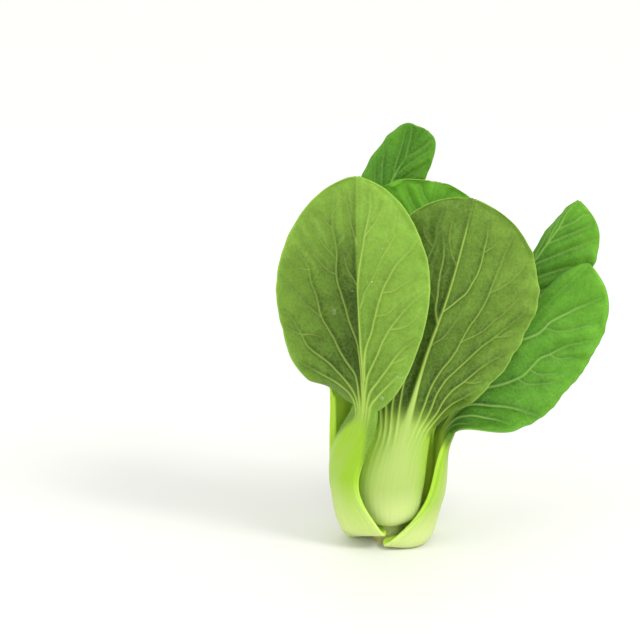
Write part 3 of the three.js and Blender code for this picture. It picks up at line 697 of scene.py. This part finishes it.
def leafMaterial():
    look = leafLook
    material, tree = newMaterial("freshBrassicaLeaf")
    growth = addNode(tree, "ShaderNodeAttribute", dict(attribute_name="growth"))
    vein, pale, rim = addNode(tree, "ShaderNodeSeparateColor", Color=growth.outputs["Color"]).outputs
    front = growth.outputs["Alpha"]
    placing = addNode(tree, "ShaderNodeAttribute", dict(attribute_name="place")).outputs["Color"]
    flank, upStalk, tone = addNode(tree, "ShaderNodeSeparateColor", Color=placing).outputs
    flat = addNode(tree, "ShaderNodeAttribute", dict(attribute_name="flat")).outputs["Vector"]

    # blade: greens in soft patches and specks
    patches = addNode(tree, "ShaderNodeTexNoise", Vector=flat, Scale=1 / look["mottleSize"],
                      Detail=3.0, Roughness=0.55).outputs["Fac"]
    specks = addNode(tree, "ShaderNodeTexNoise", Vector=flat, Scale=1 / look["speckSize"],
                     Detail=2.0).outputs["Fac"]
    light = addNode(tree, "ShaderNodeMath", dict(operation="MULTIPLY_ADD"), i0=patches,
                    i1=look["mottle"], i2=tone).outputs[0]
    light = addNode(tree, "ShaderNodeMath", dict(operation="MULTIPLY_ADD"), i0=specks,
                    i1=look["speck"], i2=light).outputs[0]
    light = addNode(tree, "ShaderNodeMath", dict(operation="SUBTRACT", use_clamp=True), i0=light,
                    i1=0.5 * (look["mottle"] + look["speck"])).outputs[0]
    backGreen = addNode(tree, "ShaderNodeMix", colourMix, i0=light, i6=look["backShade"],
                        i7=look["backLight"]).outputs[2]
    frontGreen = addNode(tree, "ShaderNodeMix", colourMix, i0=light, i6=look["frontShade"],
                         i7=look["frontLight"]).outputs[2]
    green = addNode(tree, "ShaderNodeMix", colourMix, i0=front, i6=backGreen, i7=frontGreen).outputs[2]

    # the finest net of veins, then the larger ones and the thin pale rim
    net = addNode(tree, "ShaderNodeTexVoronoi", dict(feature="DISTANCE_TO_EDGE"), Vector=flat,
                  Scale=1 / look["netSize"]).outputs["Distance"]
    netLine = addNode(tree, "ShaderNodeMapRange", Value=net, From_Min=0.0, From_Max=0.10,
                      To_Min=look["netTint"], To_Max=0.0).outputs[0]
    veined = addNode(tree, "ShaderNodeMath", dict(operation="MAXIMUM", use_clamp=True), i0=vein,
                     i1=netLine).outputs[0]
    veinGreen = addNode(tree, "ShaderNodeMix", colourMix, i0=front, i6=look["backVein"],
                        i7=look["frontVein"]).outputs[2]
    blade = addNode(tree, "ShaderNodeMix", colourMix, i0=veined, i6=green, i7=veinGreen).outputs[2]
    rimGreen = addNode(tree, "ShaderNodeMix", colourMix, i0=front, i6=look["backRim"],
                       i7=look["frontRim"]).outputs[2]
    blade = addNode(tree, "ShaderNodeMix", colourMix, i0=rim, i6=blade, i7=rimGreen).outputs[2]

    # stalk: pale heart, greener flanks and top, whitish base, strands that run its length
    stretched = addNode(tree, "ShaderNodeMapping", Vector=flat,
                        Scale=(0.02, 1 / look["strandSize"], 0.0)).outputs[0]
    strands = addNode(tree, "ShaderNodeTexNoise", Vector=stretched, Scale=1.0, Detail=2.0,
                      Roughness=0.5).outputs["Fac"]
    stalk = addNode(tree, "ShaderNodeMix", colourMix, i0=flank, i6=look["stalkHeart"],
                    i7=look["stalkFlank"]).outputs[2]
    lower = addNode(tree, "ShaderNodeMapRange", Value=upStalk, From_Min=0.5, From_Max=0.05,
                    To_Max=0.85).outputs[0]
    stalk = addNode(tree, "ShaderNodeMix", colourMix, i0=lower, i6=stalk,
                    i7=look["stalkBase"]).outputs[2]
    strandLine = addNode(tree, "ShaderNodeMapRange", Value=strands, From_Min=0.48, From_Max=0.75,
                         To_Max=look["strandTint"]).outputs[0]
    upper = addNode(tree, "ShaderNodeMapRange", Value=upStalk, From_Min=0.45, From_Max=1.05,
                    To_Min=0.2, To_Max=1.2).outputs[0]
    strandShare = addNode(tree, "ShaderNodeMath", dict(operation="MULTIPLY"), i0=strandLine,
                          i1=upper).outputs[0]
    stalk = addNode(tree, "ShaderNodeMix", colourMix, i0=strandShare, i6=stalk,
                    i7=look["stalkStrand"]).outputs[2]
    veinShare = addNode(tree, "ShaderNodeMath", dict(operation="MULTIPLY"), i0=vein, i1=0.7).outputs[0]
    stalk = addNode(tree, "ShaderNodeMix", colourMix, i0=veinShare, i6=stalk,
                    i7=look["stalkHeart"]).outputs[2]
    # the inner face takes stalkInside, its own lime made brighter: partly painted light for the shaded gaps
    # between stalks
    inside = addNode(tree, "ShaderNodeMath", dict(operation="MULTIPLY"), i0=front, i1=0.85).outputs[0]
    stalk = addNode(tree, "ShaderNodeMix", colourMix, i0=inside, i6=stalk,
                    i7=look["stalkInside"]).outputs[2]
    # painted light: where the tone passes 1 the stalk turns to a paler lime, as if lit through while it
    # lies in shade
    lit = addNode(tree, "ShaderNodeMath", dict(operation="SUBTRACT", use_clamp=True), i0=tone,
                  i1=1.0).outputs[0]
    stalk = addNode(tree, "ShaderNodeMix", colourMix, i0=lit, i6=stalk,
                    i7=look["stalkPaintedLight"]).outputs[2]
    colour = addNode(tree, "ShaderNodeMix", colourMix, i0=pale, i6=blade, i7=stalk).outputs[2]

    # relief: the fine net and a faint grain on the blade, strands on the stalk
    grain = addNode(tree, "ShaderNodeTexNoise", Vector=flat, Scale=2.2, Detail=2.0).outputs["Fac"]
    grained = addNode(tree, "ShaderNodeMath", dict(operation="MULTIPLY"), i0=grain, i1=0.4).outputs[0]
    bladeRelief = addNode(tree, "ShaderNodeMath", dict(operation="MULTIPLY_ADD"), i0=netLine,
                          i1=-0.45 / look["netTint"], i2=grained).outputs[0]
    stalkRelief = addNode(tree, "ShaderNodeMath", dict(operation="MULTIPLY"), i0=strands,
                          i1=0.3).outputs[0]
    relief = addNode(tree, "ShaderNodeMix", valueMix, i0=pale, i2=bladeRelief,
                     i3=stalkRelief).outputs[0]
    bump = addNode(tree, "ShaderNodeBump", Height=relief, Strength=0.4, Distance=0.4 * mm).outputs[0]

    rough = addNode(tree, "ShaderNodeMix", valueMix, i0=pale, i2=look["bladeRoughness"],
                    i3=look["stalkRoughness"]).outputs[0]
    depth = addNode(tree, "ShaderNodeMapRange", Value=pale, To_Min=look["bladeDepth"] * mm,
                    To_Max=look["stalkDepth"] * mm).outputs[0]
    weight = addNode(tree, "ShaderNodeMapRange", Value=pale, To_Min=0.25, To_Max=0.7).outputs[0]
    shader = addNode(tree, "ShaderNodeBsdfPrincipled", Base_Color=colour, Roughness=rough, Normal=bump,
                     IOR=1.42, Specular_IOR_Level=look["specular"], Subsurface_Weight=weight,
                     Subsurface_Radius=(0.9, 1.0, 0.3), Subsurface_Scale=depth)
    addNode(tree, "ShaderNodeOutputMaterial", Surface=shader.outputs[0])
    return material


# Cut brassica stem: wet fibrous pith that has browned at the cut, dull under a green rind.
stemLook = dict(
    rind="#b3c46e", pith="#b9bd7e", browned="#8b8440",
    cutHeight=4.0,       # mm up the stem that the cut has browned
    fibreSize=0.7,       # mm across a fibre
    blotchSize=4.0,      # mm across a browned patch
)


def stemMaterial():
    look = stemLook
    material, tree = newMaterial("cutBrassicaStem")
    where = addNode(tree, "ShaderNodeTexCoord").outputs["Object"]
    fibres = addNode(tree, "ShaderNodeTexVoronoi", Vector=where,
                     Scale=1 / (look["fibreSize"] * mm)).outputs["Distance"]
    blotch = addNode(tree, "ShaderNodeTexNoise", Vector=where, Scale=1 / (look["blotchSize"] * mm),
                     Detail=3.0).outputs["Fac"]
    cut = addNode(tree, "ShaderNodeMix", colourMix, i0=blotch, i6=look["browned"],
                  i7=look["pith"]).outputs[2]
    height = addNode(tree, "ShaderNodeSeparateXYZ", Vector=where).outputs[2]
    above = addNode(tree, "ShaderNodeMapRange", Value=height, From_Min=0.5 * look["cutHeight"] * mm,
                    From_Max=1.5 * look["cutHeight"] * mm).outputs[0]
    colour = addNode(tree, "ShaderNodeMix", colourMix, i0=above, i6=cut, i7=look["rind"]).outputs[2]
    bump = addNode(tree, "ShaderNodeBump", Height=fibres, Strength=0.5, Distance=0.3 * mm).outputs[0]
    shader = addNode(tree, "ShaderNodeBsdfPrincipled", Base_Color=colour, Roughness=0.62, Normal=bump,
                     IOR=1.42, Subsurface_Weight=0.2, Subsurface_Radius=(0.9, 1.0, 0.35),
                     Subsurface_Scale=1.0 * mm)
    addNode(tree, "ShaderNodeOutputMaterial", Surface=shader.outputs[0])
    return material


# Rinsing water left on the front left leaf: clear, low beads that catch the key light.
# Each is s and t of its centre, then half its width and half its height, in mm.
beads = dict(
    places=((123.3, -12.2, 1.25, 1.9), (137.3, 5.7, 0.75, 1.1), (134.3, -2.2, 0.9, 0.5),
            (93.6, 15.1, 1.9, 0.95), (85.0, 7.1, 1.5, 1.1), (152.0, 11.0, 0.5, 0.55)),
    rise=0.75,           # height of a bead over its smaller half size
    rings=9, spokes=26,
)


def waterMaterial():
    material, tree = newMaterial("clearWater")
    where = addNode(tree, "ShaderNodeTexCoord").outputs["Object"]
    ripple = addNode(tree, "ShaderNodeTexNoise", Vector=where, Scale=1 / (2.0 * mm)).outputs["Fac"]
    bump = addNode(tree, "ShaderNodeBump", Height=ripple, Strength=0.1, Distance=0.1 * mm).outputs[0]
    # The pale green diffuse share is painted light: the glow of light that real beads gather and let
    # through.
    shader = addNode(tree, "ShaderNodeBsdfPrincipled", Base_Color="#d2e8a4", Roughness=0.05, Normal=bump,
                     IOR=1.33, Transmission_Weight=0.88)
    addNode(tree, "ShaderNodeOutputMaterial", Surface=shader.outputs[0])
    return material


def buildDroplets(leaf):
    rows, t, back, normal = leaf.surface
    rings, spokes = beads["rings"], beads["spokes"]
    points, faces = [], []
    for s0, t0, wide, tall in beads["places"]:
        i = int(np.argmin(np.abs(rows - s0)))
        j = int(np.argmin(np.abs(t[i] - t0)))
        up = normal[i, j]
        along = back[i + 3, j] - back[i - 3, j]
        along /= np.linalg.norm(along)
        across = np.cross(along, up)
        first = len(points)
        for ring in range(rings + 1):
            share = ring / rings
            for spoke in range(spokes):
                turn = 2 * pi * spoke / spokes
                lift = beads["rise"] * min(wide, tall) * (1 - share**2)**0.6 * (1 - 0.3 * share * sin(turn))
                points.append(back[i, j] + across * wide * share * cos(turn)
                              + along * tall * share * sin(turn) + up * (lift - 0.1))
        rim = first + rings * spokes
        points.append(back[i, j] - up * 0.3)
        for ring in range(rings):
            for spoke in range(spokes):
                a = first + ring * spokes + spoke
                b = first + ring * spokes + (spoke + 1) % spokes
                if ring == 0:
                    faces.append((first, a + spokes, b + spokes))
                else:
                    faces.append((a, a + spokes, b + spokes, b))
        for spoke in range(spokes):
            faces.append((rim + (spoke + 1) % spokes, rim + spoke, len(points) - 1))
    mesh = bpy.data.meshes.new("droplets")
    mesh.from_pydata([tuple(point * mm) for point in points], [], faces)
    mesh.polygons.foreach_set("use_smooth", np.ones(len(faces), bool))
    mesh.materials.append(waterMaterial())
    piece = bpy.data.objects.new("droplets", mesh)
    scene.collection.objects.link(piece)
    piece.visible_shadow = False  # clear beads hardly darken the leaf under them
    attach(piece, "root")


def buildLeaves():
    material = leafMaterial()
    for name, shape in leaves.items():
        leaf = Leaf(name, shape)
        mesh = leafMesh(leaf)
        mesh.materials.append(material)
        piece = bpy.data.objects.new(name, mesh)
        scene.collection.objects.link(piece)
        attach(piece, "root")
        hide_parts(name + "_stalk", name + "_blade")
        print("leaf", name, len(mesh.polygons) * 2, "triangles")
        if name == "leaf_front_left":
            buildDroplets(leaf)


def dressStem():
    node = bpy.data.objects["stem"]
    node.data.materials.clear()
    node.data.materials.append(stemMaterial())


# Table, light and camera
studio = dict(
    # tablePaintedShade is painted shade: the board greyer near the head, against the lamps' brighter pool
    # there
    table="#f8f8f4", tablePaintedShade="#e0e0da", paintedShadeReach=(0.12, 0.8),  # metres from the head
    tableReach=15.0,     # metres, so that its edge is far behind
    sky="#ffffff", skyStrength=1.06,
    keyPower=10.5, keySize=0.45, keyPlace=(0.85, -0.68, 0.95),
    fillPower=2.5, fillSize=0.9, fillPlace=(-0.9, -0.6, 0.5),
    frontPower=3.2, frontSize=0.3, frontPlace=(0.06, -1.1, 0.27),
)
view = dict(
    elevation=12.0,           # degrees above the table
    distance=900.0,           # mm from the camera to the head's axis
    aimHeight=90.0,           # mm, the height on the axis that the camera is squared to
    aimPixel=(388.0, 347.1),  # where that point falls in the 640 x 640 picture
    pixelSize=0.45,           # mm a pixel at that distance
    picture=640,
)


# Painted board: matte with a faint tooth, so it takes soft shadows and shows no gloss. Near the
# head it is a little greyer: painted shade that evens out the lamps' brighter pool there.
def layTable():
    mesh = bpy.data.meshes.new("table")
    reach = studio["tableReach"]
    corners = [(-reach, -reach, 0), (reach, -reach, 0), (reach, reach, 0), (-reach, reach, 0)]
    mesh.from_pydata(corners, [], [(0, 1, 2, 3)])
    material, tree = newMaterial("matteWhiteBoard")
    where = addNode(tree, "ShaderNodeTexCoord").outputs["Object"]
    tooth = addNode(tree, "ShaderNodeTexNoise", Vector=where, Scale=1 / (1.5 * mm)).outputs["Fac"]
    bump = addNode(tree, "ShaderNodeBump", Height=tooth, Strength=0.05, Distance=0.2 * mm).outputs[0]
    away = addNode(tree, "ShaderNodeVectorMath", dict(operation="LENGTH"), i0=where).outputs[1]
    far = addNode(tree, "ShaderNodeMapRange", Value=away, From_Min=studio["paintedShadeReach"][0],
                  From_Max=studio["paintedShadeReach"][1]).outputs[0]
    colour = addNode(tree, "ShaderNodeMix", colourMix, i0=far, i6=studio["tablePaintedShade"],
                     i7=studio["table"]).outputs[2]
    shader = addNode(tree, "ShaderNodeBsdfPrincipled", Base_Color=colour, Roughness=0.6, Normal=bump)
    addNode(tree, "ShaderNodeOutputMaterial", Surface=shader.outputs[0])
    mesh.materials.append(material)
    table = bpy.data.objects.new("table", mesh)
    scene.collection.objects.link(table)


def addLight(name, power, size, place):
    lamp = bpy.data.lights.new(name, "AREA")
    lamp.energy = power
    lamp.size = size
    light = bpy.data.objects.new(name, lamp)
    light.location = place
    light.rotation_euler = (Vector((0, 0, 0.09)) - light.location).to_track_quat("-Z", "Y").to_euler()
    scene.collection.objects.link(light)


def lightStudio():
    world = bpy.data.worlds.new("studio")
    world.use_nodes = True
    background = world.node_tree.nodes["Background"]
    background.inputs["Color"].default_value = toLinear(studio["sky"])
    background.inputs["Strength"].default_value = studio["skyStrength"]
    scene.world = world
    addLight("keyLight", studio["keyPower"], studio["keySize"], studio["keyPlace"])
    addLight("fillLight", studio["fillPower"], studio["fillSize"], studio["fillPlace"])
    addLight("frontLight", studio["frontPower"], studio["frontSize"], studio["frontPlace"])
    scene.view_settings.view_transform = "Standard"


def placeCamera():
    lens = bpy.data.cameras.new("camera")
    lens.sensor_width = 36
    lens.lens = 36 * view["distance"] / (view["pixelSize"] * view["picture"])
    lens.shift_x = -(view["aimPixel"][0] / view["picture"] - 0.5)
    lens.shift_y = view["aimPixel"][1] / view["picture"] - 0.5
    camera = bpy.data.objects.new("camera", lens)
    tilt = radians(view["elevation"])
    away = view["distance"] * mm
    camera.location = (0, -away * cos(tilt), view["aimHeight"] * mm + away * sin(tilt))
    camera.rotation_euler = (pi / 2 - tilt, 0, 0)
    scene.collection.objects.link(camera)
    scene.camera = camera


placeCamera()
layTable()
lightStudio()
dressStem()
print("stage and stem done")
buildLeaves()
print("leaves done")
